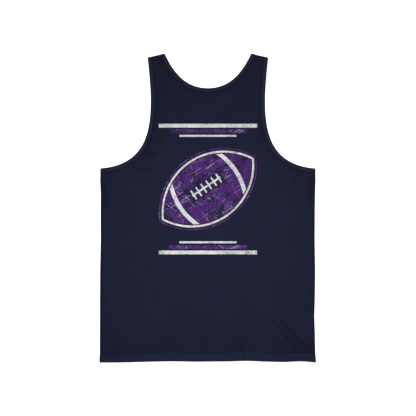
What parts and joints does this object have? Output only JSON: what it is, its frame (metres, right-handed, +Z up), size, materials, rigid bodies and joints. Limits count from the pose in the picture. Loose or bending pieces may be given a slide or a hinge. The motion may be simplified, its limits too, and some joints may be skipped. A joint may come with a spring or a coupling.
{
  "type": "tank top",
  "caption": "Sleeveless jersey tank top laid flat, back side up, with a scooped neck, deep armholes, bound edges and a turned hem.",
  "frame": {"origin": "on the surface the garment lies on, under the middle of its outline", "axes": "+X to the viewer's right with the back side up, +Y from the hem towards the shoulders, +Z up out of the back panel"},
  "size_m": [0.5024, 0.7178, 0.0056],
  "materials": {
    "jersey": "matte navy cotton jersey, fine vertical knit ribs",
    "binding": "matte navy jersey folded double along the neck and armholes"
  },
  "bodies": {
    "root": {"back_panel": "jersey", "front_panel": "jersey", "neck_binding": "binding", "armhole_binding_left": "binding", "armhole_binding_right": "binding"}
  },
  "joints": []
}
